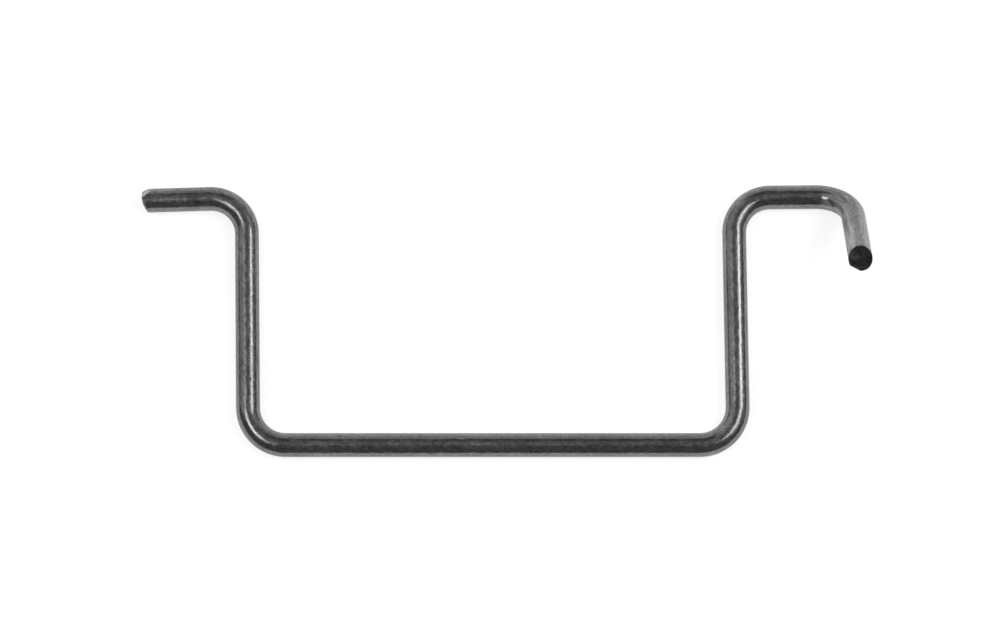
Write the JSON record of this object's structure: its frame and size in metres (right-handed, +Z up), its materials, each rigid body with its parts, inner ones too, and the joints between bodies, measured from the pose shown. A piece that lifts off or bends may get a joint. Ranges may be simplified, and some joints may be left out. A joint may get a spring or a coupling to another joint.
{
  "type": "bent wire form",
  "caption": "U-shaped form of round steel wire: a bar between two legs, a pivot stub on one side, and a shoulder with a raised tail on the other, so that the U can swing as a gate.",
  "frame": {"origin": "on the surface the form lies on, under the middle of its outline", "axes": "+X along the bar from the stub side to the tail side, +Y from the bar towards the stub and shoulder, +Z up, the way the tail rises"},
  "size_m": [0.0616, 0.0233, 0.0079],
  "materials": {
    "steel_wire": "drawn steel wire, dark grey and lightly oiled, with fine marks along the wire, rubbed bends and rough sheared ends"
  },
  "bodies": {
    "root": {"wire_form": "steel_wire"}
  },
  "joints": []
}
